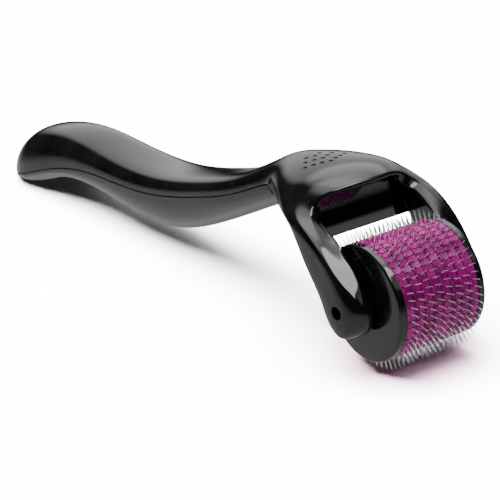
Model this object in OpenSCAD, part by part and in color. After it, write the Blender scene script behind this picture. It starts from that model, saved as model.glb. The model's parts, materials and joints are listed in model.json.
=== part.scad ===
// Derma roller: an S-curved two-shell handle whose head carries a free-turning
// drum of needle discs between two arms.
// Lengths in millimetres. +X runs along the drum's axle, +Y towards the tail,
// +Z up. The roller lies at rest on its needle tips and on the tail; the origin
// is on that floor, under the middle of the object.

/* [Drum] */
// Width of one needle disc
disc_w = 1.95; // [1.8:0.05:2]
// Radius of the drum over its discs and end caps
drum_r = 10.3; // [10:0.1:10.4]
// Radius of the circle through the needle tips
tip_r = 12.2; // [11.5:0.1:12.4]
// Number of needles in each ring
needle_count = 54; // [36:1:60]
// Thickness of an end cap's flange
cap_t = 1.35; // [1.1:0.05:1.4]
// Radius of the journals that the drum turns on
journal_r = 1.15; // [1:0.05:1.3]
// Radial clearance between a journal and its bore
journal_gap = 0.05; // [0.02:0.01:0.1]

/* [Handle] */
// Wall thickness of the moulded shells
wall = 1.6; // [1.2:0.1:2]
// Thickness of the hood over the drum
hood_t = 2.2; // [1.8:0.1:2.4]
// Distance from the drum's axis to the tail's end
tail_reach = 131.5; // [130:0.5:133]
// Radius of one dimple of the thumb grip
dimple_r = 0.45; // [0.3:0.05:0.6]

/* [Hidden] */
DISCS = 8;
$fn = 96;

gloss_black = "#141416";
liner_black = "#1d1d20";
magenta = "#a3157d";
steel = "#c9ccd1";

// Drum
stack_half = DISCS * disc_w / 2;          // half the length of the disc stack
core_r = 3;                               // core shaft that keys the discs
core_key = 0.8;                           // depth of the shaft's flat
core_fit = 0.04;                          // slip of the discs on the core
core_into_cap = 0.9;                      // how far the core enters each cap
rim_round = 0.4;                          // rounded outer edge of a cap
hub_r = 2.6;                              // thrust boss around a journal
axial_play = 0.15;                        // free play at each arm
hub_t = 0.9;
journal_recess = 1;                       // journal end below the arm's face
edge_bevel = 0.22;                        // bevel on both edges of a disc's rim
needle_r = 0.11;
needle_taper = 0.9;                       // length of a needle's point
carrier_in_r = 8.2;                       // ring that holds a row of needles
carrier_out_r = 9;
carrier_w = 0.4;
needle_fn = 16;
// How far each ring is turned from its neighbours, as a part of the pitch
ring_turn = [0.15, -0.1, 0.1, 0, 0.3, -0.05, -0.1, 0];

// Arms
arm_inner_x = stack_half + cap_t + hub_t + axial_play;
arm_outer_x = 14.7;
bore_r = journal_r + journal_gap;

// Handle: sections across the handle, one every station_step from the neck
// back to the tail. The seam between the shells runs at seam_z.
neck_y = 30;
station_step = 13;
seam_z = [12.8, 7.0, 2.9, -0.2, -1.6, -2.3, -4.8, -9.2, -12.3];
half_w = [6.4, 6.6, 6.8, 7.0, 7.2, 7.4, 8.2, 9.2, 9.0];
rise = [4.4, 3.5, 3.4, 3.6, 3.8, 4.7, 7.4, 9.2, 7.0];
depth = [4.6, 5.1, 7.2, 8.7, 8.0, 5.9, 3.4, 3.2, 4.6];
seam_gap = 0.12;
boxy = 0.3;                               // how boxy the upper half's sections are
boxy_over = 20;                           // distance from the neck over which they get so
boxy_end = 135;                           // where they would be round again
boxy_fade = 35;                           // distance over which they turn round
tail_round_y = 119;                       // where the tail's end starts to round
straight_rows = 24;
round_rows = 8;

// Head: curved ribs from the middle of the hood (first) to the tip of an arm
// (last). Each rib has five points, from the back edge to the front edge.
ribs = [
    [[0, 30, 17.2], [0, 24, 18.5], [0, 18, 18.9], [0, 13, 18.5], [0, 9.6, 17.1]],
    [[3.9, 30, 16.3], [4.3, 24, 17.9], [4.7, 18, 18.5], [4.8, 13, 18.2], [4.8, 9.8, 16.9]],
    [[6, 30, 14.3], [7.7, 24, 16.6], [8.8, 18.5, 17.3], [9, 14, 17.1], [8.6, 10.9, 15.9]],
    [[6.4, 30, 12.8], [9.4, 23.5, 14.8], [11.2, 18, 15.8], [11.6, 14, 15.5], [11.2, 10.6, 13.9]],
    [[8, 26.2, 13], [10.9, 21, 13.6], [12.6, 17, 14.5], [13.1, 13, 14.3], [12, 9.2, 12.9]],
    [[12, 18.6, 13.1], [13.2, 16.5, 13.3], [13.9, 13.8, 13.2], [14.1, 9.4, 12.7], [12.8, 6, 10.9]],
    [[14.1, 12.8, 11.6], [14.5, 11.3, 11.5], [14.7, 9, 11.2], [14.5, 5.8, 10.5], [13.2, 3, 8.6]],
    [[14.5, 9.6, 7.6], [14.7, 8, 8], [14.7, 5.4, 8.1], [14.6, 2.4, 7.6], [13.2, -0.2, 5.7]],
    [[14.5, 6.6, 3.6], [14.7, 5, 4], [14.7, 2.1, 4.2], [14.4, -0.8, 4], [12.7, -2.8, 3.2]],
    [[14.4, 4.4, 0.2], [14.7, 2.7, 0.2], [14.7, 0, 0.2], [14.1, -3, 0.3], [11.9, -4.6, 0.5]],
    [[14.2, 3.2, -2.8], [14.5, 1.9, -3.1], [14.5, 0, -3.3], [13.9, -2.5, -3.1], [11.8, -4.1, -2.7]],
    [[13.9, 1.4, -4.6], [14, 0.7, -4.8], [14, 0, -4.9], [13.7, -0.9, -4.8], [12.1, -1.7, -4.7]]
];
// From this rib on, the front edge is a face of its own, sloped towards the
// drum: where its inner edge lies on each rib
front_face_rib = 2;
front_inner = [
    [7.2, 10.9, 14.9], [8.6, 10.7, 13.5], [arm_inner_x, 8.9, 12.3], [arm_inner_x, 5.9, 10.7],
    [arm_inner_x, 2.7, 8.8], [arm_inner_x, -0.7, 6.1], [arm_inner_x, -3, 3.4],
    [arm_inner_x, -4.7, 0.3], [arm_inner_x, -4.3, -2.9], [arm_inner_x, -1.7, -4.8]
];
// How much further back the inner edge of each rib's back lies on the arms
back_slope = [0, 0, 0, 0, 0, 0, 1.5, 1.7, 1.2, 0, 0, 0];
// How far the inner face of each hood rib lies in from the outer one
hood_in = [0, 0.5, 1.2, 1.9, 2.4, 3];
hood_down = [1, 0.95, 0.8, 0.65, 0.55, 0.4] * hood_t;
// The hood thins towards its front lip: share of its depth at each rib point
lip_share = [1, 1, 1, 0.85, 0.5];
rib_split = 2;                            // facets between two ribs or rib points
neck_ribs = 3;                            // ribs each side that run on as the handle
// Angles round a handle section where those ribs lie
rib_angles = [0, 20, 52, 90, 128, 160, 180];

// Thumb dimples on the hood
dimple_sides = [3, 2, 1];                 // dimples each side of the middle in a row
dimple_x = -1.2;                          // middle dimple of the front row
dimple_y = 17.8;
dimple_row_pitch = 2.35;
dimple_pitch = 1.45;
dimple_slant = 0.6;                       // step back from one dimple to the next
dimple_sink = 0.1;                        // centre of a dimple over the surface
dimple_fn = 24;
hood_step = 6;                            // spacing in Y of the hood's rib points
hood_arch = 0.035;                        // fall of the hood over its half width squared

// Liner under the hood
liner_r = 9.5;                            // its hollow face towards the drum
liner_axis = [3.7, 14.3];                 // centre of that face in Y and Z
liner_gap = 0.1;
liner_t = 1.4;
liner_floor = 8.2;                        // height of its underside
liner_top_r = 15.5;                       // arch that keeps its walls under the hood
liner_crown = [14.2, 16];                 // Y and Z where its top starts to fall
liner_shoulder = [20, 11.8];              // and where it flattens towards the neck
liner_neck_top = 10.4;
liner_wide_y = 15.5;                      // its sides draw in from here to the neck
liner_neck_w = 4.6;                       // half its width at the neck
wide = 40;                                // longer than any cut through the head

// The object's place over its origin
nose_y = tip_r;
shift_y = (tail_reach - nose_y) / 2;

// Value of a smooth curve through list at position u, for numbers or points
function reach(list, i) =
    i < 0 ? 2 * list[0] - list[1]
    : i >= len(list) ? 2 * list[len(list) - 1] - list[len(list) - 2]
    : list[i];
function spline(list, u) =
    let (
        i = min(max(floor(u), 0), len(list) - 2),
        t = u - i,
        a = reach(list, i - 1),
        b = list[i],
        c = list[i + 1],
        d = reach(list, i + 2)
    )
    (2 * b + (c - a) * t + (2 * a - 5 * b + 4 * c - d) * t * t
        + (3 * b - a - 3 * c + d) * t * t * t) / 2;

// Handle rows: how far along row i is, and how much the rounded end shrinks it
rows = straight_rows + round_rows;
function end_angle(i) = 90 * (i - straight_rows) / (round_rows + 0.3);
function row_y(i, tip) =
    i <= straight_rows
        ? neck_y + (tail_round_y - neck_y) * i / straight_rows
        : tail_round_y + (tip - tail_round_y) * sin(end_angle(i));
function row_scale(i) = i <= straight_rows ? 1 : cos(end_angle(i));

columns = 2 * neck_ribs * rib_split;      // facets round half a handle section
function column_angle(j) = spline(rib_angles, j / rib_split);

// Value to a power that keeps its sign
function signed_pow(value, power) = sign(value) * pow(abs(value), power);

// One point of the handle's skin. inset is the wall, or 0 on the outside;
// side is 1 for the upper half and -1 for the lower half
function handle_point(i, j, inset, side) =
    let (
        y = row_y(i, tail_reach - inset),
        u = (y - neck_y) / station_step,
        s = row_scale(i),
        height = (side > 0 ? spline(rise, u) : spline(depth, u)) - inset,
        angle = column_angle(j),
        boxiness = boxy * min(1, (y - neck_y) / boxy_over, (boxy_end - y) / boxy_fade),
        power = side > 0 ? 1 - boxiness : 1
    )
    [
        s * (spline(half_w, u) - inset) * signed_pow(cos(angle), power),
        y,
        spline(seam_z, u) - (side > 0 ? 0 : seam_gap)
            + side * s * height * signed_pow(sin(angle), power)
    ];

// Head grid: columns from the right arm's tip over the hood to the left one
last_rib = len(ribs) - 1;
head_columns = 2 * last_rib * rib_split;
head_rows = 4 * rib_split;
function inner_rib(k) = [
    for (n = [0:len(ribs[k]) - 1])
        let (p = ribs[k][n])
        n == 0 && k <= neck_ribs ? handle_point(0, (neck_ribs - k) * rib_split, wall, 1)
        : n == 4 && k >= front_face_rib ? front_inner[k - front_face_rib]
        : k < len(hood_in) ? [p.x - hood_in[k], p.y, p.z - hood_down[k] * lip_share[n]]
        : [arm_inner_x, p.y + (n == 0 ? back_slope[k] : 0), p.z]
];
function mirrored(rib, side) = [for (p = rib) [side * p.x, p.y, p.z]];
function rib_line(layer) = [
    for (k = [last_rib:-1:-last_rib])
        mirrored(layer == 0 ? ribs[abs(k)] : inner_rib(abs(k)), k < 0 ? -1 : 1)
];
function head_points(layer) =
    let (line = rib_line(layer))
    [
        for (r = [0:head_rows])
            let (across = [for (rib = line) spline(rib, r / rib_split)])
            for (c = [0:head_columns])
                let (p = spline(across, c / rib_split))
                // the arms' inner faces stay flat where the curve would swing past them
                layer == 0 ? p
                    : abs(c - head_columns / 2) > 5 * rib_split
                        ? [sign(p.x) * arm_inner_x, p.y, p.z]
                        : [max(-arm_inner_x, min(arm_inner_x, p.x)), p.y, p.z]
    ];

// Two triangles for a cell whose corners are given clockwise from outside
function cell(a, b, c, d) = [[a, b, c], [a, c, d]];
function flat_list(lists) = [for (part = lists) for (item = part) item];

// Upper shell: hood, both arms and the top half of the handle, one moulding
function upper_points() = concat(
    head_points(0),
    head_points(1),
    [for (layer = [0, 1]) for (i = [1:rows]) for (j = [0:columns])
        handle_point(i, j, layer * wall, 1)]
);
head_size = (head_rows + 1) * (head_columns + 1);
neck_column = (last_rib - neck_ribs) * rib_split;
function head_id(layer, r, c) = layer * head_size + r * (head_columns + 1) + c;
function handle_id(layer, i, j) =
    i == 0
        ? head_id(layer, 0, neck_column + j)
        : 2 * head_size + (layer * rows + i - 1) * (columns + 1) + j;
function head_rim(r0, c0, r1, c1) =
    cell(head_id(0, r0, c0), head_id(0, r1, c1), head_id(1, r1, c1), head_id(1, r0, c0));
function handle_rim(i0, j0, i1, j1) =
    cell(handle_id(0, i0, j0), handle_id(0, i1, j1),
        handle_id(1, i1, j1), handle_id(1, i0, j0));
function upper_faces() = flat_list(concat(
    [for (r = [0:head_rows - 1]) for (c = [0:head_columns - 1]) cell(
        head_id(0, r, c), head_id(0, r + 1, c), head_id(0, r + 1, c + 1), head_id(0, r, c + 1))],
    [for (r = [0:head_rows - 1]) for (c = [0:head_columns - 1]) cell(
        head_id(1, r, c + 1), head_id(1, r + 1, c + 1), head_id(1, r + 1, c), head_id(1, r, c))],
    [for (i = [0:rows - 1]) for (j = [0:columns - 1]) cell(
        handle_id(0, i, j), handle_id(0, i, j + 1),
        handle_id(0, i + 1, j + 1), handle_id(0, i + 1, j))],
    [for (i = [0:rows - 1]) for (j = [0:columns - 1]) cell(
        handle_id(1, i + 1, j), handle_id(1, i + 1, j + 1),
        handle_id(1, i, j + 1), handle_id(1, i, j))],
    // arm tips, front lip and the back edges of the wings
    [for (r = [0:head_rows - 1]) head_rim(r + 1, 0, r, 0)],
    [for (r = [0:head_rows - 1]) head_rim(r, head_columns, r + 1, head_columns)],
    [for (c = [0:head_columns - 1]) head_rim(head_rows, c + 1, head_rows, c)],
    [for (c = [0:head_columns - 1]) if (c < neck_column || c >= neck_column + columns)
        head_rim(0, c, 0, c + 1)],
    // seam edges, then the closed tail
    [for (i = [0:rows - 1]) handle_rim(i, 0, i + 1, 0)],
    [for (i = [0:rows - 1]) handle_rim(i + 1, columns, i, columns)],
    [handle_rim(rows, 0, rows, columns)],
    [[[for (j = [0:columns]) handle_id(0, rows, j)]]],
    [[[for (j = [columns:-1:0]) handle_id(1, rows, j)]]]
));

// Lower shell: the belly half of the handle, open at the neck
function lower_points() = [
    for (layer = [0, 1]) for (i = [0:rows]) for (j = [0:columns])
        handle_point(i, j, layer * wall, -1)
];
function lower_id(layer, i, j) = (layer * (rows + 1) + i) * (columns + 1) + j;
function lower_rim(i0, j0, i1, j1) =
    cell(lower_id(0, i0, j0), lower_id(0, i1, j1),
        lower_id(1, i1, j1), lower_id(1, i0, j0));
function lower_faces() = flat_list(concat(
    [for (i = [0:rows - 1]) for (j = [0:columns - 1]) cell(
        lower_id(0, i + 1, j), lower_id(0, i + 1, j + 1),
        lower_id(0, i, j + 1), lower_id(0, i, j))],
    [for (i = [0:rows - 1]) for (j = [0:columns - 1]) cell(
        lower_id(1, i, j), lower_id(1, i, j + 1),
        lower_id(1, i + 1, j + 1), lower_id(1, i + 1, j))],
    [for (j = [0:columns - 1]) lower_rim(0, j, 0, j + 1)],
    [for (i = [0:rows - 1]) lower_rim(i + 1, 0, i, 0)],
    [for (i = [0:rows - 1]) lower_rim(i, columns, i + 1, columns)],
    [lower_rim(rows, columns, rows, 0)],
    [[[for (j = [columns:-1:0]) lower_id(0, rows, j)]]],
    [[[for (j = [0:columns]) lower_id(1, rows, j)]]]
));

// Moves a shape from the drum's axis to its place over the origin
module place() {
    translate([0, -shift_y, tip_r]) children();
}

// A shape turned so that its own Z lies along the drum's axle
module along_axle() {
    rotate([0, 90, 0]) children();
}

// Rounded dimples that give the thumb a hold on the hood: nested V rows
module thumb_dimples() {
    for (row = [0:len(dimple_sides) - 1])
        for (k = [-dimple_sides[row]:dimple_sides[row]]) {
            x = dimple_x + k * dimple_pitch;
            y = dimple_y + row * dimple_row_pitch + abs(k) * dimple_slant;
            surface = spline([for (p = ribs[0]) p.z], (neck_y - y) / hood_step)
                - hood_arch * x * x;
            translate([x, y, surface + dimple_sink]) sphere(r = dimple_r, $fn = dimple_fn);
        }
}

module upper_shell() {
    color(gloss_black) place() difference() {
        polyhedron(points = upper_points(), faces = upper_faces(), convexity = 8);
        along_axle() cylinder(r = bore_r, h = 4 * arm_outer_x, center = true);
        thumb_dimples();
    }
}

// The floor plane trims the tail to a small flat that it rests on
module lower_shell() {
    color(gloss_black) place() difference() {
        polyhedron(points = lower_points(), faces = lower_faces(), convexity = 8);
        translate([-wide / 2, neck_y, -tip_r - wide]) cube([wide, tail_reach, wide]);
    }
}

// Side outline of the liner in Y and Z. inset draws it in by the wall, and
// leaves it open above
module liner_side(inset) {
    back = neck_y - liner_gap - inset;
    top = inset > 0 ? wide : 0;
    polygon([
        [liner_axis.x, liner_floor + inset],
        [back, liner_floor + inset],
        [back, liner_neck_top + top],
        [liner_shoulder.x, liner_shoulder.y + top],
        [liner_crown.x, liner_crown.y + top],
        [liner_axis.x, liner_crown.y + top]
    ]);
}

// Top outline of the liner in X and Y: as wide as the arms allow at the front
module liner_plan(inset) {
    front = arm_inner_x - liner_gap - inset;
    back = liner_neck_w - inset;
    polygon([
        [-front, 0], [front, 0], [front, liner_wide_y], [back, neck_y],
        [-back, neck_y], [-front, liner_wide_y]
    ]);
}

module liner_block(inset) {
    intersection() {
        rotate([90, 0, 90]) translate([0, 0, -wide / 2]) linear_extrude(wide)
            liner_side(inset);
        linear_extrude(2 * wide) liner_plan(inset);
    }
}

// Cylinder along the axle whose wall is the liner's hollow front face
module liner_front(grow) {
    translate([0, liner_axis.x, liner_axis.y]) along_axle()
        cylinder(r = liner_r + grow, h = 2 * wide, center = true);
}

// Open-topped liner that closes the underside of the hood behind the drum
module head_liner() {
    color(liner_black) place() difference() {
        intersection() {
            liner_block(0);
            rotate([-90, 0, 0]) cylinder(r = liner_top_r, h = wide);
        }
        liner_front(0);
        difference() {
            liner_block(liner_t);
            liner_front(liner_t);
        }
    }
}

// Section of the core shaft: round with one flat that keys the discs
module keyed_circle(r) {
    difference() {
        circle(r = r);
        translate([-r, core_r - core_key + (r - core_r)]) square([2 * r, r]);
    }
}

module core_shaft() {
    color("dimgray") place() along_axle()
        translate([0, 0, -stack_half - core_into_cap])
            linear_extrude(2 * (stack_half + core_into_cap)) keyed_circle(core_r);
}

// End cap on the +X side: a flange with a rounded rim, a thrust hub, the
// journal that turns in the arm, and a keyed socket for the core
module end_cap() {
    journal_end = arm_outer_x - journal_recess;
    flange_end = stack_half + cap_t;
    color(gloss_black) along_axle() difference() {
        rotate_extrude() union() {
            translate([0, stack_half]) square([drum_r - rim_round, cap_t]);
            translate([0, stack_half]) square([drum_r, cap_t - rim_round]);
            translate([drum_r - rim_round, flange_end - rim_round]) circle(r = rim_round);
            translate([0, flange_end]) square([hub_r, hub_t]);
            translate([0, flange_end]) square([journal_r, journal_end - flange_end]);
        }
        translate([0, 0, stack_half - hub_t])
            linear_extrude(hub_t + core_into_cap + core_fit) keyed_circle(core_r + core_fit);
    }
}

module left_end_cap() {
    place() mirror([1, 0, 0]) end_cap();
}

module right_end_cap() {
    place() end_cap();
}

// Middle of disc i along the axle, with disc 1 at the left
function disc_x(i) = (i - (DISCS + 1) / 2) * disc_w;

// Moulded disc i with bevelled rim edges and a keyed bore
module needle_disc(i) {
    color(magenta) place() translate([disc_x(i), 0, 0]) along_axle()
        difference() {
            rotate_extrude() polygon([
                [0, -disc_w / 2], [drum_r - edge_bevel, -disc_w / 2],
                [drum_r, -disc_w / 2 + edge_bevel], [drum_r, disc_w / 2 - edge_bevel],
                [drum_r - edge_bevel, disc_w / 2], [0, disc_w / 2]
            ]);
            translate([0, 0, -disc_w])
                linear_extrude(2 * disc_w) keyed_circle(core_r + core_fit);
        }
}

// Row i of steel needles, held by a thin ring inside the disc
module needle_ring(i) {
    pitch = 360 / needle_count;
    root_r = (carrier_in_r + carrier_out_r) / 2;
    color(steel) place() translate([disc_x(i), 0, 0]) along_axle() union() {
        difference() {
            cylinder(r = carrier_out_r, h = carrier_w, center = true);
            cylinder(r = carrier_in_r, h = 2 * carrier_w, center = true);
        }
        for (k = [0:needle_count - 1])
            rotate([0, 0, (k + ring_turn[i - 1]) * pitch]) rotate([0, 90, 0])
                rotate_extrude($fn = needle_fn) polygon([
                    [0, root_r], [needle_r, root_r], [needle_r, tip_r - needle_taper], [0, tip_r]
                ]);
    }
}

upper_shell();
lower_shell();
head_liner();
core_shaft();
left_end_cap();
right_end_cap();
for (i = [1:DISCS]) {
    needle_disc(i);
    needle_ring(i);
}
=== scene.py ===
"""Looks of the derma roller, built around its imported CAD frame.

Shapes are worked out in millimetres from the middle of the drum's axle, with +X along the axle,
+Y towards the tail and +Z up, and placed in the row's frame by to_row().
"""

import json
import math
import random

import bmesh
import bpy
import numpy as np
from mathutils import Matrix, Vector


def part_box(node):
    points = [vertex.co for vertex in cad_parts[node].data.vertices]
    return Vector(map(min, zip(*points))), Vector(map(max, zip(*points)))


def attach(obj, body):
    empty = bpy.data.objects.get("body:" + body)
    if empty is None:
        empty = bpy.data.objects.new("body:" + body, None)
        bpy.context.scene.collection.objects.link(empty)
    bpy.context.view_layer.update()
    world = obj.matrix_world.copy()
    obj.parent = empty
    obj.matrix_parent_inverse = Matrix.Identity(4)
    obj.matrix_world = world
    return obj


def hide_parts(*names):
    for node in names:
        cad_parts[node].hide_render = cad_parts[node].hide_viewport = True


MM = 0.001
random.seed(7)

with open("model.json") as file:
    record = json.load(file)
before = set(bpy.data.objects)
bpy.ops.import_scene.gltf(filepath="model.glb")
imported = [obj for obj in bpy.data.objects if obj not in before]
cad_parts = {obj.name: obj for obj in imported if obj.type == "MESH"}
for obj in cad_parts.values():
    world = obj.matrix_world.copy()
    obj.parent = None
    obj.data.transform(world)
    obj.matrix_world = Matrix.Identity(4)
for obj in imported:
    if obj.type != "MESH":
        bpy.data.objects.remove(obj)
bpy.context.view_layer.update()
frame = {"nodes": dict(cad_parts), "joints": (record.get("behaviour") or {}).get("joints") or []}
AXLE = Vector(frame["joints"][0]["pos_m"])


# ---------------------------------------------------------------- sizes from the frame, in mm


def extent(node, axis):
    """Size of a CAD node along axis 0, 1 or 2."""
    low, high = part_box(node)
    return (high[axis] - low[axis]) / MM


def reach(node, axis):
    """Furthest that a CAD node goes from the axle's middle in the positive direction of an axis."""
    return (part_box(node)[1][axis] - AXLE[axis]) / MM


DISCS = 8
NEEDLES = 54                                      # in each ring
PITCH = 2 * math.pi / NEEDLES                     # angle from one needle to the next
TIP_R = AXLE.z / MM                               # the needle tips stand on the floor
DISC_W = extent("needle_disc_1", 0)
DRUM_R = extent("needle_disc_1", 2) / 2
STACK_HALF = DISCS * DISC_W / 2                   # half the length of the eight discs together
CAP_REACH = reach("right_end_cap", 0)             # end of a cap's journal
ARM_OUT = extent("upper_shell", 0) / 2
TAIL_Y = reach("upper_shell", 1)
FLOOR_Z = -TIP_R

# How far each ring of needles is turned about the axle, as a part of the needle pitch
RING_TURN = [0.15, -0.1, 0.1, 0, 0.3, -0.05, -0.1, 0]

# ---------------------------------------------------------------- shape of the handle and head

# Handle sections, one every STATION mm from the neck to the tail: the height of the seam, half the
# width, and how far the upper shell rises over the seam and the lower one goes down from it
NECK_Y = 30
STATION = 13
SEAM_Z = [12.8, 7.0, 2.9, -0.2, -1.6, -2.3, -4.8, -9.2, -12.3]
HALF_W = [6.4, 6.6, 6.8, 7.0, 7.2, 7.4, 8.2, 9.2, 9.0]
RISE = [4.4, 3.5, 3.4, 3.6, 3.8, 4.7, 7.4, 9.2, 7.0]
DEPTH = [4.6, 5.1, 7.2, 8.7, 8.0, 5.9, 3.4, 3.2, 4.6]
TAIL_ROUND_Y = 119                                # where the tail's end starts to round
WALL = 1.6                                        # thickness of the handle's wall
SEAM_GAP = 0.12                                   # between the two shells
BOXY = 0.3                                        # how boxy the upper half's sections are
BOXY_OVER = 20                                    # distance from the neck over which they get so
BOXY_END = 135                                    # where they would be round again
BOXY_FADE = 35                                    # distance over which they turn round
STRAIGHT_ROWS = 24                                # rows of the skin's cage up to TAIL_ROUND_Y
ROUND_ROWS = 8                                    # and from there to the tail's tip
TIP_REST = 0.3                                    # part of a row that is left as the tip's flat end

# Curved ribs from the middle of the hood (first) to the tip of an arm (last), each with five
# points from the back edge to the front edge
RIBS = [
    [[0, 30, 17.2], [0, 24, 18.5], [0, 18, 18.9], [0, 13, 18.5], [0, 9.6, 17.1]],
    [[3.9, 30, 16.3], [4.3, 24, 17.9], [4.7, 18, 18.5], [4.8, 13, 18.2], [4.8, 9.8, 16.9]],
    [[6, 30, 14.3], [7.7, 24, 16.6], [8.8, 18.5, 17.3], [9, 14, 17.1], [8.6, 10.9, 15.9]],
    [[6.4, 30, 12.8], [9.4, 23.5, 14.8], [11.2, 18, 15.8], [11.6, 14, 15.5], [11.2, 10.6, 13.9]],
    [[8, 26.2, 13], [10.9, 21, 13.6], [12.6, 17, 14.5], [13.1, 13, 14.3], [12, 9.2, 12.9]],
    [[12, 18.6, 13.1], [13.2, 16.5, 13.3], [13.9, 13.8, 13.2], [14.1, 9.4, 12.7], [12.8, 6, 10.9]],
    [[14.1, 12.8, 11.6], [14.5, 11.3, 11.5], [14.7, 9, 11.2], [14.5, 5.8, 10.5], [13.2, 3, 8.6]],
    [[14.5, 9.6, 7.6], [14.7, 8, 8], [14.7, 5.4, 8.1], [14.6, 2.4, 7.6], [13.2, -0.2, 5.7]],
    [[14.5, 6.6, 3.6], [14.7, 5, 4], [14.7, 2.1, 4.2], [14.4, -0.8, 4], [12.7, -2.8, 3.2]],
    [[14.4, 4.4, 0.2], [14.7, 2.7, 0.2], [14.7, 0, 0.2], [14.1, -3, 0.3], [11.9, -4.6, 0.5]],
    [[14.2, 3.2, -2.8], [14.5, 1.9, -3.1], [14.5, 0, -3.3], [13.9, -2.5, -3.1], [11.8, -4.1, -2.7]],
    [[13.9, 1.4, -4.6], [14, 0.7, -4.8], [14, 0, -4.9], [13.7, -0.9, -4.8], [12.1, -1.7, -4.7]],
]
# Front points of the inner skin on the ribs where the front edge is a face of its own
FRONT_INNER = {
    2: [7.2, 10.9, 14.9], 3: [8.6, 10.7, 13.5], 4: [10.2, 8.9, 12.3], 5: [10.2, 5.9, 10.7],
    6: [10.2, 2.7, 8.8], 7: [10.2, -0.7, 6.1], 8: [10.2, -3, 3.4], 9: [10.2, -4.7, 0.3],
    10: [10.2, -4.3, -2.9], 11: [10.2, -1.7, -4.8],
}
# How much further back the inner skin's back edge lies than the outer one's on an arm's ribs
ARM_BACK = {6: 1.5, 7: 1.7, 8: 1.2}
HOOD_T = 2.2                                      # thickness of the hood along its middle rib
# How far the inner skin lies towards the middle, and below as a part of HOOD_T, on the hood's ribs
HOOD_IN = [0, 0.5, 1.2, 1.9, 2.4, 3]
HOOD_DOWN = [1, 0.95, 0.8, 0.65, 0.55, 0.4]
LIP_SHARE = [1, 1, 1, 0.85, 0.5]                  # part of that depth at a rib's five points
ARM_IN = 10.2                                     # half the room between the arms
NECK_RIBS = 3                                     # ribs each side of the middle that run into the handle
RIB_ANGLES = [0, 20, 52, 90, 128, 160, 180]       # where they meet the handle's section
SPLIT = 2                                         # cage cells between two ribs


def smooth_curve(knots, values):
    """Natural cubic curve through values at increasing knots, as a function of position."""
    knots = np.asarray(knots, float)
    values = np.asarray(values, float)
    count = len(knots)
    step = np.diff(knots)
    system = np.eye(count)
    right = np.zeros_like(values)
    for i in range(1, count - 1):
        system[i, i - 1 : i + 2] = step[i - 1], 2 * (step[i - 1] + step[i]), step[i]
        rise_after = (values[i + 1] - values[i]) / step[i]
        rise_before = (values[i] - values[i - 1]) / step[i - 1]
        right[i] = 6 * (rise_after - rise_before)
    bend = np.linalg.solve(system, right)

    def at(x):
        i = int(np.clip(np.searchsorted(knots, x, side="right") - 1, 0, count - 2))
        b = (x - knots[i]) / step[i]
        a = 1 - b
        curve = (a**3 - a) * bend[i] + (b**3 - b) * bend[i + 1]
        return a * values[i] + b * values[i + 1] + curve * step[i] ** 2 / 6

    return at


def chord_knots(points):
    """Lengths along a list of points, for use as knots."""
    gaps = np.linalg.norm(np.diff(np.asarray(points, float), axis=0), axis=1)
    return np.concatenate([[0], np.cumsum(gaps)])


def refine(points, split, before=()):
    """Points on a smooth curve through points, split cells between each two.

    before holds points that the curve also follows ahead of the first one.
    """
    every = np.asarray(list(before) + list(points), float)
    knots = chord_knots(every)
    curve = smooth_curve(knots, every)
    skip = len(before)
    places = []
    for i in range(skip, len(every) - 1):
        places += [knots[i] + (knots[i + 1] - knots[i]) * k / split for k in range(split)]
    places.append(knots[-1])
    return np.array([curve(x) for x in places])


STATIONS = [NECK_Y + STATION * i for i in range(len(SEAM_Z))]
seam_at = smooth_curve(STATIONS, SEAM_Z)
half_w_at = smooth_curve(STATIONS, HALF_W)
rise_at = smooth_curve(STATIONS, RISE)
depth_at = smooth_curve(STATIONS, DEPTH)
COLUMNS = 2 * NECK_RIBS * SPLIT
COLUMN_ANGLES = np.interp(np.arange(COLUMNS + 1) / SPLIT, range(len(RIB_ANGLES)), RIB_ANGLES)


def section_point(y, angle, inset, side, shrink=1.0):
    """Point of the handle's skin at y and an angle round the section, upper or lower side."""
    height = (rise_at(y) if side > 0 else depth_at(y)) - inset
    boxiness = BOXY * min(1, max(0, y - NECK_Y) / BOXY_OVER, (BOXY_END - y) / BOXY_FADE)
    power = 1 - boxiness if side > 0 else 1
    turn = math.radians(angle)
    across = math.cos(turn)
    up = abs(math.sin(turn))
    seam = seam_at(y) - (0 if side > 0 else SEAM_GAP)
    return [
        shrink * (half_w_at(y) - inset) * math.copysign(abs(across) ** power, across),
        y,
        seam + side * shrink * height * up**power,
    ]


def handle_rows(inset, side):
    """Grid of skin points from the neck to the tail's rounded end."""
    tip = TAIL_Y - inset
    rows = []
    for i in range(STRAIGHT_ROWS + ROUND_ROWS + 1):
        turn = max(0, i - STRAIGHT_ROWS) / (ROUND_ROWS + TIP_REST) * math.pi / 2
        if i <= STRAIGHT_ROWS:
            y = NECK_Y + (TAIL_ROUND_Y - NECK_Y) * i / STRAIGHT_ROWS
        else:
            y = TAIL_ROUND_Y + (tip - TAIL_ROUND_Y) * math.sin(turn)
        rows.append([section_point(y, a, inset, side, math.cos(turn)) for a in COLUMN_ANGLES])
    return np.array(rows)


def rib_points(k, inner):
    """The five points of rib k on the outer or the inner skin."""
    points = []
    for n, (x, y, z) in enumerate(RIBS[k]):
        if not inner:
            points.append([x, y, z])
        elif n == 0 and k <= NECK_RIBS:
            points.append(section_point(NECK_Y, RIB_ANGLES[NECK_RIBS - k], WALL, 1))
        elif n == 4 and k in FRONT_INNER:
            points.append(FRONT_INNER[k])
        elif k < len(HOOD_IN):
            points.append([x - HOOD_IN[k], y, z - HOOD_T * HOOD_DOWN[k] * LIP_SHARE[n]])
        else:
            points.append([ARM_IN, y + (ARM_BACK.get(k, 0) if n == 0 else 0), z])
    return points


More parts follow.
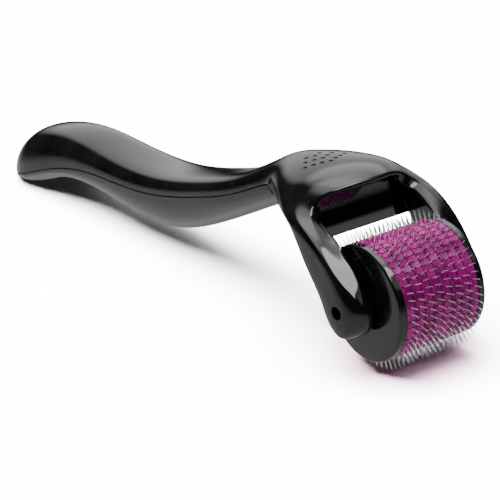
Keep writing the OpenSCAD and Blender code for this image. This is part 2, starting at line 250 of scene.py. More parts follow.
def head_grid(inner):
    """Grid of skin points: rows from the back edge to the front, columns from arm to arm."""
    lines = []
    for k in range(len(RIBS)):
        before = []
        if k <= NECK_RIBS:
            angle = RIB_ANGLES[NECK_RIBS - k]
            inset = WALL if inner else 0
            before = [section_point(NECK_Y + STATION * s, angle, inset, 1) for s in (2, 1)]
        lines.append(refine(rib_points(k, inner), SPLIT, before))
    mirror = np.array([-1, 1, 1])
    across = lines[:0:-1] + [line * mirror for line in lines]
    grid = []
    for row in range(len(lines[0])):
        grid.append(refine([line[row] for line in across], SPLIT))
    grid = np.array(grid)
    if inner:
        flat = (len(RIBS) - len(HOOD_IN)) * SPLIT
        grid[:, :flat, 0] = ARM_IN
        grid[:, -flat:, 0] = -ARM_IN
        grid[..., 0] = np.clip(grid[..., 0], -ARM_IN, ARM_IN)
    return grid


# ---------------------------------------------------------------- mesh helpers

SAME_SPOT = 1e-7                                  # in metres


def to_row(points):
    """Drum-centred millimetres to the row's frame in metres."""
    return np.asarray(points, float) * MM + np.array(AXLE)


def new_object(name, mesh):
    obj = bpy.data.objects.new(name, mesh)
    bpy.context.scene.collection.objects.link(obj)
    return obj


def mesh_object(name, points, faces):
    """Object from drum-centred points in millimetres, with its faces turned outwards."""
    mesh = bpy.data.meshes.new(name)
    mesh.from_pydata([tuple(p) for p in to_row(points)], [], [tuple(map(int, f)) for f in faces])
    shape = bmesh.new()
    shape.from_mesh(mesh)
    bmesh.ops.recalc_face_normals(shape, faces=shape.faces)
    shape.to_mesh(mesh)
    shape.free()
    return new_object(name, mesh)


def bake(obj):
    """Replaces an object's mesh by what its modifiers make of it."""
    graph = bpy.context.evaluated_depsgraph_get()
    graph.update()
    made = bpy.data.meshes.new_from_object(obj.evaluated_get(graph))
    obj.modifiers.clear()
    obj.data = made
    return obj


def smooth_shade(obj, sharp_angle=35):
    """Smooth shading that breaks at edges sharper than sharp_angle degrees."""
    shape = bmesh.new()
    shape.from_mesh(obj.data)
    limit = math.radians(sharp_angle)
    for edge in shape.edges:
        edge.smooth = len(edge.link_faces) == 2 and edge.calc_face_angle(0) < limit
    for face in shape.faces:
        face.smooth = True
    shape.to_mesh(obj.data)
    shape.free()


def cut(obj, cutter):
    """Takes the cutter's volume out of obj and removes the cutter."""
    step = obj.modifiers.new("cut", "BOOLEAN")
    step.operation = "DIFFERENCE"
    step.solver = "EXACT"
    step.object = cutter
    bake(obj)
    bpy.data.objects.remove(cutter)


def quads(ids):
    """Faces between the rows and columns of a grid of point numbers."""
    rows, columns = ids.shape
    return [
        (ids[r, c], ids[r + 1, c], ids[r + 1, c + 1], ids[r, c + 1])
        for r in range(rows - 1)
        for c in range(columns - 1)
    ]


def turned_faces(count, steps):
    """Faces between the copies of a profile of count points, set round the axle in steps."""
    faces = []
    for s in range(steps):
        here, after = s * count, (s + 1) % steps * count
        for k in range(count - 1):
            faces.append((here + k, here + k + 1, after + k + 1, after + k))
    return faces


def lathe(profile, steps):
    """Points and faces of a closed ring: a profile of (along X, radius) turned round the axle."""
    points = []
    for s in range(steps):
        turn = 2 * math.pi * s / steps
        points += [[x, r * math.cos(turn), r * math.sin(turn)] for x, r in profile]
    return points, turned_faces(len(profile), steps)


def merge_points(obj):
    """Joins points that lie on the same spot, such as a lathe's points on its axis."""
    shape = bmesh.new()
    shape.from_mesh(obj.data)
    bmesh.ops.remove_doubles(shape, verts=shape.verts, dist=SAME_SPOT)
    bmesh.ops.recalc_face_normals(shape, faces=shape.faces)
    shape.to_mesh(obj.data)
    shape.free()


# ---------------------------------------------------------------- materials


NOISE_LOW = 0.35                                  # between these lies most of a noise's range
NOISE_HIGH = 0.65


class Shader:
    """A node material with short ways to add and join nodes."""

    def __init__(self, name):
        self.material = bpy.data.materials.new(name)
        self.material.use_nodes = True
        self.tree = self.material.node_tree
        self.surface = self.tree.nodes["Principled BSDF"]
        self.where = self.tree.nodes.new("ShaderNodeTexCoord")

    def put(self, socket, value):
        """Gives an input a value, or joins another node's output to it."""
        if isinstance(value, bpy.types.NodeSocket):
            self.tree.links.new(value, socket)
        else:
            socket.default_value = value

    def node(self, kind, settings=None, **inputs):
        made = self.tree.nodes.new(kind)
        for key, value in (settings or {}).items():
            setattr(made, key, value)
        for key, value in inputs.items():
            self.put(made.inputs[key.replace("_", " ")], value)
        return made

    def noise(self, size_mm, detail, stretch=(1, 1, 1)):
        """Noise between 0 and 1 whose blotches are about size_mm across."""
        scaled = self.node(
            "ShaderNodeMapping", Vector=self.where.outputs["Object"], Scale=stretch
        )
        made = self.node("ShaderNodeTexNoise", Vector=scaled.outputs[0], Detail=detail)
        made.inputs["Scale"].default_value = 1 / (size_mm * MM)
        return made.outputs["Fac"]

    def spread(self, value, low, high):
        """Turns a noise value into one that runs from low to high."""
        made = self.node("ShaderNodeMapRange", Value=value)
        made.inputs["From Min"].default_value = NOISE_LOW
        made.inputs["From Max"].default_value = NOISE_HIGH
        made.inputs["To Min"].default_value = low
        made.inputs["To Max"].default_value = high
        return made.outputs["Result"]

    def mix(self, factor, first, second):
        made = self.node("ShaderNodeMix", {"data_type": "RGBA"})
        self.put(made.inputs["Factor"], factor)
        self.put(made.inputs["A"], first)
        self.put(made.inputs["B"], second)
        return made.outputs["Result"]

    def bump(self, height, depth_mm, normal=None):
        made = self.node("ShaderNodeBump", Height=height)
        made.inputs["Distance"].default_value = depth_mm * MM
        if normal is not None:
            self.put(made.inputs["Normal"], normal)
        return made.outputs["Normal"]

    def set(self, **inputs):
        for key, value in inputs.items():
            self.put(self.surface.inputs[key.replace("_", " ")], value)


def rgba(r, g, b):
    return (r, g, b, 1)


def black_gloss(name, specular):
    """Polished black moulded plastic: a faint flow pattern, handling haze and hairline scuffs."""
    look = Shader(name)
    haze = look.noise(9, 4)
    scuffs = look.noise(0.35, 2, stretch=(1, 0.06, 1))
    flow = look.noise(14, 2, stretch=(1, 0.4, 1))
    blacks = (rgba(0.0003, 0.0003, 0.00035), rgba(0.0008, 0.0008, 0.0009))
    tint = look.mix(look.spread(haze, 0, 1), *blacks)
    normal = look.bump(flow, 0.03)
    normal = look.bump(scuffs, 0.0006, normal)
    look.set(
        Base_Color=tint,
        Roughness=look.spread(haze, 0.07, 0.12),
        IOR=1.5,
        Specular_IOR_Level=specular,
        Normal=normal,
    )
    return look.material


def magenta_plastic():
    """Clear magenta plastic of the discs: light wanders in it, and its depth varies."""
    look = Shader("magenta_plastic")
    cloud = look.noise(2.2, 3)
    grain = look.noise(0.3, 2)
    magentas = (rgba(0.017, 0.0001, 0.009), rgba(0.04, 0.0001, 0.0225))
    colour = look.mix(look.spread(cloud, 0, 1), *magentas)
    look.set(
        Base_Color=colour,
        Roughness=look.spread(grain, 0.12, 0.2),
        IOR=1.49,
        Subsurface_Weight=0.3,
        Subsurface_Radius=(1.0, 0.25, 0.7),
        Subsurface_Scale=1.2 * MM,
        Specular_IOR_Level=0.2,
        Normal=look.bump(grain, 0.012),
    )
    return look.material


def needle_steel():
    """Bright drawn steel, with fine drawing lines along the needles."""
    look = Shader("needle_steel")
    lines = look.noise(0.06, 2)
    look.set(
        Base_Color=look.mix(lines, rgba(0.62, 0.62, 0.64), rgba(0.86, 0.86, 0.88)),
        Metallic=0.97,
        Roughness=look.spread(lines, 0.18, 0.3),
    )
    return look.material


def core_plastic():
    """Matt grey plastic of the hidden core shaft."""
    look = Shader("core_plastic")
    grain = look.noise(0.4, 3)
    look.set(
        Base_Color=look.mix(grain, rgba(0.05, 0.05, 0.055), rgba(0.09, 0.09, 0.095)),
        Roughness=look.spread(grain, 0.45, 0.6),
        Normal=look.bump(grain, 0.02),
    )
    return look.material


PAINTED_GLOW_PLACE = (0, -1, FLOOR_Z)                     # where the pink light through the drum is painted on the floor
PAINTED_GLOW_FULL = 7                                     # distance up to which that painted light is full
PAINTED_GLOW_GONE = 19                                    # and from which it is gone


def floor_white():
    """Matt white table top, faintly mottled, with the pink light that comes through the drum painted on
    it as a tint.
    """
    look = Shader("floor_white")
    mottle = look.noise(60, 3)
    white = look.mix(mottle, rgba(0.86, 0.86, 0.865), rgba(0.89, 0.89, 0.89))
    # Painted light: the floor's colour turns pink near the drum, standing in for light that shines
    # through the drum
    from_drum = look.node("ShaderNodeVectorMath", {"operation": "DISTANCE"})
    look.put(from_drum.inputs[0], look.where.outputs["Object"])
    look.put(from_drum.inputs[1], to_row(PAINTED_GLOW_PLACE))
    painted_glow = look.node("ShaderNodeMapRange", {"interpolation_type": "SMOOTHSTEP"})
    look.put(painted_glow.inputs["Value"], from_drum.outputs["Value"])
    look.put(painted_glow.inputs["From Min"], PAINTED_GLOW_FULL * MM)
    look.put(painted_glow.inputs["From Max"], PAINTED_GLOW_GONE * MM)
    look.put(painted_glow.inputs["To Min"], 1.0)
    look.put(painted_glow.inputs["To Max"], 0.0)
    look.set(
        Base_Color=look.mix(painted_glow.outputs["Result"], white, rgba(0.88, 0.55, 0.73)),
        Roughness=look.spread(mottle, 0.55, 0.65),
        Specular_IOR_Level=0.2,
        Normal=look.bump(look.noise(3, 2), 0.01),
    )
    return look.material


SHELL_LOOK = black_gloss("black_shell_gloss", 0.5)
LINER_LOOK = black_gloss("black_liner_gloss", 0.6)
CAP_LOOK = black_gloss("black_cap_gloss", 0.5)
DISC_LOOK = magenta_plastic()
NEEDLE_LOOK = needle_steel()
CORE_LOOK = core_plastic()


def finish_piece(obj, look, body, node):
    """Gives a piece its material and its body, and hides the CAD node it stands for."""
    obj.data.materials.clear()
    obj.data.materials.append(look)
    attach(obj, body)
    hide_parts(node)


# ---------------------------------------------------------------- shells

# How wide the edges are rounded
LIP_BEVEL = 0.46                                  # the hood's front lip
RIM_BEVEL = 0.34                                  # the head's other edges
ARM_BEVEL = 0.85                                  # the arms' front edges next to the drum
SEAM_BEVEL = 0.14                                 # the edges along the seam
BEVEL_STEPS = 3
TIP_ROWS = 4                                      # rows at the tail's tip that stay unrounded
LIP_RIBS = 3                                      # ribs each side of the middle that end in the lip
ARM_TIP = 2                                       # cells at an arm's tip with the rim's rounding
SKIN_LEVEL = 2                                    # subdivision of the cage


def shell_object(name, points, faces, rims):
    """Smooth closed shell from a cage. rims maps pairs of point numbers to an edge rounding."""
    obj = mesh_object(name, points, faces)
    widest = max(rims.values())
    shape = bmesh.new()
    shape.from_mesh(obj.data)
    shape.verts.ensure_lookup_table()
    weights = shape.edges.layers.float.new("bevel_weight_edge")
    for (a, b), width in rims.items():
        edge = shape.edges.get([shape.verts[a], shape.verts[b]])
        edge[weights] = width / widest
    shape.to_mesh(obj.data)
    shape.free()
    round_off = obj.modifiers.new("round", "BEVEL")
    round_off.limit_method = "WEIGHT"
    round_off.width = widest * MM
    round_off.segments = BEVEL_STEPS
    round_off.use_clamp_overlap = False
    smooth = obj.modifiers.new("smooth", "SUBSURF")
    smooth.levels = SKIN_LEVEL
    smooth.render_levels = SKIN_LEVEL
    return bake(obj)


def border_rims(loop, widths):
    """Edge roundings along a loop of point numbers."""
    pairs = zip(loop, loop[1:] + loop[:1])
    return {(int(a), int(b)): w for (a, b), w in zip(pairs, widths)}


def shell_from_skins(name, skins, border, end_rows):
    """Closed shell between an outer and an inner skin.

    skins holds, for each side, the points and the grids of point numbers; border holds the two
    border loops and, for each, the roundings of its edges; end_rows holds the rows of points that
    close the tail's tip.
    """
    points = np.concatenate([skin["points"] for skin in skins])
    faces = []
    for skin in skins:
        for grid in skin["grids"]:
            faces += quads(grid)
    loops = border["loops"]
    count = len(loops[0])
    for i in range(count):
        j = (i + 1) % count
        faces.append((loops[0][i], loops[0][j], loops[1][j], loops[1][i]))
    faces += [list(row) for row in end_rows]
    rims = {}
    for loop, widths in zip(loops, border["widths"]):
        rims.update(border_rims(loop, widths))
    return shell_object(name, points, faces, rims)


def upper_skin(inner, start):
    """Points and point-number grids of one skin of the upper shell."""
    head = head_grid(inner)
    handle = handle_rows(WALL if inner else 0, 1)[1:]
    head_ids = np.arange(head[..., 0].size).reshape(head.shape[:2]) + start
    handle_ids = np.arange(handle[..., 0].size).reshape(handle.shape[:2]) + head_ids[-1, -1] + 1
    first = (len(RIBS) - 1 - NECK_RIBS) * SPLIT
    neck = head_ids[:1, first : first + COLUMNS + 1]
    handle_ids = np.concatenate([neck, handle_ids])
    points = np.concatenate([head.reshape(-1, 3), handle.reshape(-1, 3)])
    return {"points": points, "grids": [head_ids, handle_ids], "first": first}


def upper_border(skin, arm_width):
    """Border loop of an upper skin and the rounding of each of its edges.

    It goes over the right arm's tip, along the front, over the left arm's tip and up that arm's back
    edge to the neck, along the seam to the tail and back, and down the right arm's back edge.
    """
    head, handle = skin["grids"]
    first = skin["first"]
    last = first + COLUMNS
    loop = []
    widths = []

    def go(ids, width):
        for point in ids:
            loop.append(int(point))
            widths.append(width)

    arm = (len(RIBS) - 1 - LIP_RIBS) * SPLIT
    go(head[:-1, 0], RIM_BEVEL)
    go(head[-1, :ARM_TIP], RIM_BEVEL)
    go(head[-1, ARM_TIP:arm], arm_width)
    go(head[-1, arm : -arm - 1], LIP_BEVEL)
    go(head[-1, -arm - 1 : -ARM_TIP - 1], arm_width)
    go(head[-1, -ARM_TIP - 1 : -1], RIM_BEVEL)
    go(head[:0:-1, -1], RIM_BEVEL)
    go(head[0, -1 : last : -1], RIM_BEVEL)
    go(handle[:-TIP_ROWS, -1], SEAM_BEVEL)
    go(handle[-TIP_ROWS:, -1], 0)
    go(handle[:-TIP_ROWS:-1, 0], 0)
    go(handle[-TIP_ROWS::-1, 0], SEAM_BEVEL)
    go(head[0, first - 1 : 0 : -1], RIM_BEVEL)
    return loop, widths


def upper_shell():
    """Handle top, hood and arms in one piece, with a wall all round."""
    outer = upper_skin(False, 0)
    inner = upper_skin(True, len(outer["points"]))
    outer_loop, outer_widths = upper_border(outer, RIM_BEVEL)
    inner_loop, inner_widths = upper_border(inner, ARM_BEVEL)
    border = {"loops": [outer_loop, inner_loop], "widths": [outer_widths, inner_widths]}
    ends = [outer["grids"][1][-1], inner["grids"][1][-1]]
    return shell_from_skins("upper_shell_skin", [outer, inner], border, ends)


def lower_shell():
    """Belly cover of the handle, with a wall all round and an open neck end."""
    skins = []
    start = 0
    for inset in (0, WALL):
        grid = handle_rows(inset, -1)
        ids = np.arange(grid[..., 0].size).reshape(grid.shape[:2]) + start
        skins.append({"points": grid.reshape(-1, 3), "grids": [ids]})
        start += grid[..., 0].size
    loops = []
    for skin in skins:
        ids = skin["grids"][0]
        loops.append([int(i) for i in (*ids[0, :-1], *ids[:, -1], *ids[:0:-1, 0])])
    rows, columns = skins[0]["grids"][0].shape
    tip = columns + rows - 2                      # the loop reaches the tail's tip here
    widths = [0 if abs(i - tip) < TIP_ROWS else SEAM_BEVEL for i in range(len(loops[0]))]
    border = {"loops": loops, "widths": [widths, widths]}
    ends = [skin["grids"][0][-1] for skin in skins]
    return shell_from_skins("lower_shell_skin", skins, border, ends)


def rest_on_floor(obj):
    """Flattens what would go below the floor into the small flat that the tail rests on."""
    for point in obj.data.vertices:
        point.co.z = max(point.co.z, 0)


def cylinder_cutter(name, radius, length, steps=64):
    """Closed cylinder along the axle, as a cutter."""
    points = []
    for x in (-length / 2, length / 2):
        for s in range(steps):
            turn = 2 * math.pi * s / steps
            points.append([x, radius * math.cos(turn), radius * math.sin(turn)])
    sides = [(s, (s + 1) % steps, steps + (s + 1) % steps, steps + s) for s in range(steps)]
    faces = sides + [list(range(steps)), list(range(steps, 2 * steps))]
    return mesh_object(name, points, faces)


BORE_R = 1.2                                      # of the arms' bores for the end caps
DIMPLE_R = 0.45
DIMPLE_LIFT = 0.12                                # centre of a dimple's ball above the hood
DIMPLE_SIDES = [3, 2, 1]                          # dimples each side of the middle in a row
DIMPLE_X = -1.2                                   # middle dimple of the front row
DIMPLE_Y = 17.8
DIMPLE_ROW = 2.35                                 # from one row to the next
DIMPLE_PITCH = 1.45                               # from one dimple to the next, across
DIMPLE_SLANT = 0.6                                # and towards the tail
ABOVE_ALL = 40                                    # a height above the whole object


def dimple_cutter(skin):
    """Small balls sunk in the hood where the thumb presses, in nested V rows."""
    places = []
    for row, sides in enumerate(DIMPLE_SIDES):
        for k in range(-sides, sides + 1):
            y = DIMPLE_Y + row * DIMPLE_ROW + abs(k) * DIMPLE_SLANT
            places.append((DIMPLE_X + k * DIMPLE_PITCH, y))
    shape = bmesh.new()
    for x, y in places:
        start = Vector(to_row([x, y, ABOVE_ALL]))
        found, spot, _, _ = skin.ray_cast(start, Vector((0, 0, -1)))
        if found:
            centre = spot + Vector((0, 0, DIMPLE_LIFT * MM))
            bmesh.ops.create_uvsphere(
                shape, u_segments=24, v_segments=16, radius=DIMPLE_R * MM,
                matrix=Matrix.Translation(centre),
            )
    mesh = bpy.data.meshes.new("dimple_cutter")
    shape.to_mesh(mesh)
    shape.free()
    return new_object("dimple_cutter", mesh)


upper = upper_shell()
cut(upper, dimple_cutter(upper))
cut(upper, cylinder_cutter("bore_cutter", BORE_R, 4 * ARM_OUT))
smooth_shade(upper)
finish_piece(upper, SHELL_LOOK, "handle", "upper_shell")

lower = lower_shell()
rest_on_floor(lower)
smooth_shade(lower)
finish_piece(lower, SHELL_LOOK, "handle", "lower_shell")


# ---------------------------------------------------------------- drum


SEAT_R = 3.04                                     # radius of the discs' and caps' seats on the shaft
CAP_SEAT = 0.94                                   # depth of a cap's seat on the shaft
CAP_T = 1.35                                      # thickness of a cap's cheek
CAP_RIM = 0.42                                    # rounding of the cheek's outer rim
CAP_EDGE = 0.15                                   # and of its edge next to the discs
HUB_R = 2.6                                       # thrust hub between the cheek and the arm
HUB_T = 0.9
HUB_FOOT = 0.2                                    # slope at the hub's foot
HUB_EDGE = 0.1                                    # and at its outer edge
JOURNAL_R = 1.15
JOURNAL_EDGE = 0.15
CAP_STEPS = 160                                   # steps round a cap
ARC_STEPS = 6                                     # steps over a quarter of a rounding


def cap_profile():
    """Half section of the right end cap, from its seat on the shaft to the journal's end."""
    seat = STACK_HALF + CAP_SEAT
    face = STACK_HALF + CAP_T
    hub = face + HUB_T
    quarter = [math.pi / 2 * k / ARC_STEPS for k in range(ARC_STEPS + 1)]
    profile = [(seat, 0.0), (seat, SEAT_R), (STACK_HALF, SEAT_R)]
    for turn in quarter:
        x = STACK_HALF + CAP_EDGE * (1 - math.sin(turn))
        profile.append((x, DRUM_R - CAP_EDGE * math.cos(turn)))
    for turn in quarter:
        x = face - CAP_RIM + CAP_RIM * math.sin(turn)
        profile.append((x, DRUM_R - CAP_RIM + CAP_RIM * math.cos(turn)))
    profile += [(face, HUB_R + HUB_FOOT), (face + HUB_FOOT, HUB_R)]
    profile += [(hub - HUB_EDGE, HUB_R), (hub, HUB_R - HUB_EDGE), (hub, JOURNAL_R)]
    profile += [(CAP_REACH - JOURNAL_EDGE, JOURNAL_R), (CAP_REACH, JOURNAL_R - JOURNAL_EDGE)]
    return profile + [(CAP_REACH, 0.0)]


def end_cap(side):
    """End cap: cheek with a rounded rim, thrust hub and journal. side is 1 right, -1 left."""
    points, faces = lathe([(side * x, r) for x, r in cap_profile()], CAP_STEPS)
    hand = "right" if side > 0 else "left"
    obj = mesh_object(f"{hand}_cap_skin", points, faces)
    merge_points(obj)
    smooth_shade(obj)
    finish_piece(obj, CAP_LOOK, "roller", f"{hand}_end_cap")


def disc_middle(i):
    """Middle of disc i along the axle, with disc 1 at the left."""
    return (i - (DISCS + 1) / 2) * DISC_W


# Section of a disc's rim along each edge: distance in from the disc's face, and depth below the tiles
LEFT_EDGE = [(0, 0.6), (0.12, 0.52), (0.15, 0.22), (0.2, 0.12), (0.4, 0.12), (0.46, 0.07), (0.52, 0)]
RIGHT_EDGE = [(0.2, 0), (0.14, 0.07), (0.12, 0.5), (0, 0.6)]
TILE_SLIT = 0.1                                   # width of the slit between two tiles
SLIT_DEPTH = 0.16
SLIT_ZONE = 0.2                                   # depth of the rim's part that the slits go through
SLIT_EASE = 0.35                                  # half of its rounded edge, as a part of its width
SLIT_EDGE = 0.12                                  # part of its depth lost halfway over that edge
TILE_TILT = 0.004                                 # how unevenly the tiles lie


def disc_profile():
    """Closed half section of a disc across its width."""
    half = DISC_W / 2
    rim = [(-half + x, DRUM_R - depth) for x, depth in LEFT_EDGE]
    rim += [(half - x, DRUM_R - depth) for x, depth in RIGHT_EDGE]
    return [(-half, SEAT_R), *rim, (half, SEAT_R), (-half, SEAT_R)]


def tile_stops():
    """Angles across one tile, and the part of the slit's depth that the rim loses there."""
    half_slit = TILE_SLIT / DRUM_R / 2
    ease = SLIT_EASE * TILE_SLIT / DRUM_R
    edge = [(0, 1), (half_slit, 1), (half_slit + ease, SLIT_EDGE), (half_slit + 2 * ease, 0)]
    return edge + [(PITCH / 2, 0)] + [(PITCH - at, loss) for at, loss in edge[:0:-1]]


def disc_piece(i):
    """Disc whose rim is cut into flat tiles, with a low ledge along its left edge."""
    profile = disc_profile()
    stops = tile_stops()
    flat_half = PITCH / 2 - TILE_SLIT / DRUM_R / 2
    points = []
    for tile in range(NEEDLES):
        tilt = random.uniform(-1, 1) * TILE_TILT
        for at, loss in stops:
            angle = at - PITCH / 2
            turn = (RING_TURN[i - 1] + tile) * PITCH + at
            straight = math.cos(flat_half) / math.cos(min(abs(angle), flat_half))
            lean = 1 + tilt * angle / PITCH
            for x, r in profile:
                radius = r if r == SEAT_R else r * straight * lean
                radius -= loss * SLIT_DEPTH if r > DRUM_R - SLIT_ZONE else 0
                points.append([disc_middle(i) + x, radius * math.sin(turn), radius * math.cos(turn)])
    faces = turned_faces(len(profile), NEEDLES * len(stops))
    obj = mesh_object(f"disc_skin_{i}", points, faces)
    merge_points(obj)
    smooth_shade(obj, sharp_angle=22)
    finish_piece(obj, DISC_LOOK, "roller", f"needle_disc_{i}")


NEEDLE_R = 0.115
NEEDLE_ROOT = 9.2                                 # radius where it starts, inside the disc
# Along the ground point: distance to the tip, and the part of the needle's radius there
NEEDLE_TAPER = [(0.95, 1), (0.57, 0.82), (0.2375, 0.45), (0.02, 0.1)]
NEEDLE_SIDES = 10


def needle_row(i):
    """The needles of ring i: straight shanks with a ground, slightly bulged point."""
    profile = [(NEEDLE_ROOT, NEEDLE_R)]
    profile += [(TIP_R - left, width * NEEDLE_R) for left, width in NEEDLE_TAPER]
    points = []
    faces = []
    for k in range(NEEDLES):
        turn = (k + RING_TURN[i - 1]) * PITCH
        out = Vector((0, math.sin(turn), math.cos(turn)))
        side = Vector((0, math.cos(turn), -math.sin(turn)))
        along = Vector((1, 0, 0))
        middle = Vector((disc_middle(i), 0, 0))
        start = len(points)
        for radius, width in profile:
            for s in range(NEEDLE_SIDES):
                angle = 2 * math.pi * s / NEEDLE_SIDES
                around = side * math.cos(angle) + along * math.sin(angle)
                points.append(middle + out * radius + around * width)
        points.append(middle + out * TIP_R)
        tip = len(points) - 1
        for ring in range(len(profile) - 1):
            for s in range(NEEDLE_SIDES):
                a = start + ring * NEEDLE_SIDES + s
                b = start + ring * NEEDLE_SIDES + (s + 1) % NEEDLE_SIDES
                faces.append((a, b, b + NEEDLE_SIDES, a + NEEDLE_SIDES))
        last = start + (len(profile) - 1) * NEEDLE_SIDES
        faces += [(last + s, last + (s + 1) % NEEDLE_SIDES, tip) for s in range(NEEDLE_SIDES)]
        faces.append([start + s for s in range(NEEDLE_SIDES)])
    obj = mesh_object(f"needle_row_{i}", points, faces)
    smooth_shade(obj, sharp_angle=60)
    finish_piece(obj, NEEDLE_LOOK, "roller", f"needle_ring_{i}")


for side in (-1, 1):
    end_cap(side)
for i in range(1, DISCS + 1):
    disc_piece(i)
    needle_row(i)

# The hidden shaft keeps its CAD mesh and gets a look only
core = frame["nodes"]["core_shaft"]
core.data.materials.clear()
core.data.materials.append(CORE_LOOK)


# ---------------------------------------------------------------- liner under the hood

LINER_R = 9.5                                     # hollow face towards the drum
LINER_AXIS = (3.7, 14.3)                          # its centre in Y and Z
LINER_FLOOR = 8.2                                 # height of its underside
LINER_TOP = 16.2                                  # and of the hollow face's upper end
LINER_BACK = [(14.4, 16), (20, 12)]               # Y and Z along its top, behind the hollow face
LINER_BACK_Z = 11                                 # height of its back end
LINER_ARCH = 16                                   # radius of the arch that keeps it under the hood
LINER_WIDE_Y = 15.5                               # its sides draw in from here to the neck
LINER_NECK_W = 4.6                                # half its width at the neck
LINER_GAP = 0.1                                   # to the arms and the handle
LINER_ROWS = 28                                   # cells over the hollow face
LINER_COLUMNS = 24                                # cells across
LINER_EDGE = 0.25                                 # rounding of its edges
LINER_EDGE_ANGLE = 40                             # from which an edge is rounded


def liner():
    """Smooth block with a hollow front that closes the hood behind the drum, back to the neck."""
    front_half = ARM_IN - LINER_GAP
    back_y = NECK_Y - LINER_GAP
    middle_y, middle_z = LINER_AXIS
    low = math.asin((LINER_FLOOR - middle_z) / LINER_R)
    high = math.asin((LINER_TOP - middle_z) / LINER_R)
    outline = []
    for k in range(LINER_ROWS + 1):
        turn = low + (high - low) * k / LINER_ROWS
        outline.append((middle_y + LINER_R * math.cos(turn), middle_z + LINER_R * math.sin(turn)))
    outline += LINER_BACK
    outline += [(back_y, LINER_BACK_Z), (back_y, LINER_FLOOR), (LINER_WIDE_Y, LINER_FLOOR)]
    points = []
    for c in range(LINER_COLUMNS + 1):
        for y, z in outline:
            back = np.clip((y - LINER_WIDE_Y) / (back_y - LINER_WIDE_Y), 0, 1)
            half = front_half + (LINER_NECK_W - front_half) * back
            x = half * (2 * c / LINER_COLUMNS - 1)
            points.append([x, y, min(z, math.sqrt(LINER_ARCH**2 - x * x))])
    count = len(outline)
    ids = np.arange(len(points)).reshape(LINER_COLUMNS + 1, count)
    faces = quads(np.column_stack([ids, ids[:, 0]]))
    faces += [list(ids[0]), list(ids[-1])]
    obj = mesh_object("liner_skin", points, faces)
    soften = obj.modifiers.new("soften", "BEVEL")
    soften.limit_method = "ANGLE"
    soften.angle_limit = math.radians(LINER_EDGE_ANGLE)
    soften.width = LINER_EDGE * MM
    soften.segments = BEVEL_STEPS
    bake(obj)
    smooth_shade(obj)
    finish_piece(obj, LINER_LOOK, "handle", "head_liner")


liner()


# ---------------------------------------------------------------- floor, lights, camera


FLOOR_HALF = 2000                                 # half the width of the table top


def floor():
    """White table top, which lights and tints the object but isn't mirrored in it."""
    corners = [(-1, -1), (1, -1), (1, 1), (-1, 1)]
    points = [[FLOOR_HALF * x, FLOOR_HALF * y, FLOOR_Z] for x, y in corners]
    obj = mesh_object("floor", points, [(0, 1, 2, 3)])
    obj.data.materials.append(floor_white())
    obj.visible_glossy = False


def softbox(name, aim, direction, distance, size, power, in_reflections=True):
    """Area light that looks at aim from a direction, in millimetres and watts."""
    light = bpy.data.lights.new(name, "AREA")
    light.shape = "RECTANGLE"
    light.size, light.size_y = size[0] * MM, size[1] * MM
    light.energy = power
    obj = new_object(name, light)
    away = Vector(direction).normalized()
    obj.location = Vector(to_row(aim)) + away * distance * MM
    obj.rotation_euler = away.to_track_quat("Z", "Y").to_euler()
    obj.visible_glossy = in_reflections


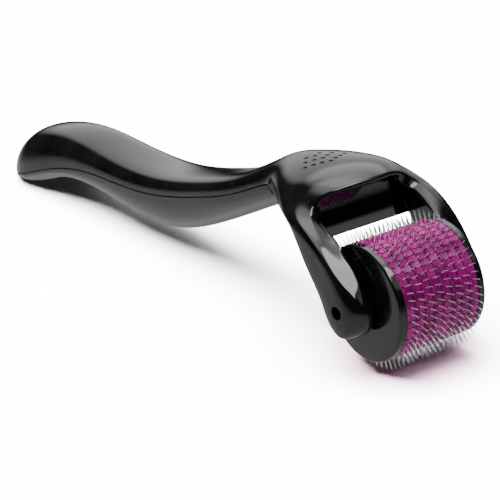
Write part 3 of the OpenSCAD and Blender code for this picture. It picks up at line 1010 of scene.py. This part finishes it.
def surroundings(base, patches):
    """World whose brightness is a base level plus soft round patches.

    A patch is a direction, the angles from it where it is full and gone, and its strength.
    """
    world = bpy.data.worlds.new("studio")
    bpy.context.scene.world = world
    world.use_nodes = True
    tree = world.node_tree
    background = tree.nodes["Background"]
    where = tree.nodes.new("ShaderNodeTexCoord")
    total = None
    for direction, full, gone, strength in patches:
        towards = tree.nodes.new("ShaderNodeVectorMath")
        towards.operation = "DOT_PRODUCT"
        tree.links.new(where.outputs["Generated"], towards.inputs[0])
        towards.inputs[1].default_value = Vector(direction).normalized()
        patch = tree.nodes.new("ShaderNodeMapRange")
        patch.interpolation_type = "SMOOTHSTEP"
        tree.links.new(towards.outputs["Value"], patch.inputs["Value"])
        patch.inputs["From Min"].default_value = math.cos(math.radians(gone))
        patch.inputs["From Max"].default_value = math.cos(math.radians(full))
        patch.inputs["To Min"].default_value = 0
        patch.inputs["To Max"].default_value = strength
        add = tree.nodes.new("ShaderNodeMath")
        add.operation = "ADD"
        tree.links.new(patch.outputs["Result"], add.inputs[0])
        if total is None:
            add.inputs[1].default_value = base
        else:
            tree.links.new(total, add.inputs[1])
        total = add.outputs[0]
    clamp = tree.nodes.new("ShaderNodeMath")
    clamp.operation = "MAXIMUM"
    clamp.inputs[1].default_value = 0
    tree.links.new(total, clamp.inputs[0])
    tree.links.new(clamp.outputs[0], background.inputs["Strength"])
    background.inputs["Color"].default_value = rgba(1, 1, 1)


floor()
surroundings(
    0.02,
    [
        ((0, 0, -1), 72, 92, 0.75),               # the table, all round below
        ((0.56, 0.72, -0.41), 8, 32, -0.45),      # a darker part of it, far behind the object
        ((0.56, 0.68, 0.47), 22, 36, 1.3),        # wide light behind the object
        ((0.44, 0.38, 0.81), 20, 30, 1.9),        # light high up at the back
        ((0.2, 0.05, 0.98), 14, 30, 3.2),         # the brightest one, overhead
        ((0.5, -0.6, 0.62), 7, 15, 1.1),          # small light in front, to the right
    ],
)
softbox("key", (0, 0, 10), (0.25, -0.46, 0.85), 500, (380, 150), 1.9)
softbox("overhead", (0, 50, 0), (-0.1, 0.15, 1), 900, (900, 900), 190, in_reflections=False)


CAMERA_PLACE = [-191.42, -245.16, 138.17]
CAMERA_TURN = [-33.234, 22.598, -4.05]            # azimuth, elevation and roll in degrees
CAMERA_LENS = 144
SENSOR = 36                                       # width of the sensor


def camera():
    """Camera low in front of the head, turned a little about its own axis."""
    azimuth, elevation, roll = (math.radians(a) for a in CAMERA_TURN)
    back = Vector((
        math.sin(azimuth) * math.cos(elevation),
        -math.cos(azimuth) * math.cos(elevation),
        math.sin(elevation),
    ))
    level_right = Vector((0, 0, 1)).cross(back).normalized()
    level_up = back.cross(level_right)
    right = math.cos(roll) * level_right + math.sin(roll) * level_up
    up = -math.sin(roll) * level_right + math.cos(roll) * level_up
    data = bpy.data.cameras.new("camera")
    data.lens = CAMERA_LENS
    data.sensor_width = SENSOR
    data.clip_start = 10 * MM
    obj = new_object("camera", data)
    turn = Matrix((right, up, back)).transposed()
    obj.matrix_world = Matrix.Translation(Vector(to_row(CAMERA_PLACE))) @ turn.to_4x4()
    bpy.context.scene.camera = obj


camera()
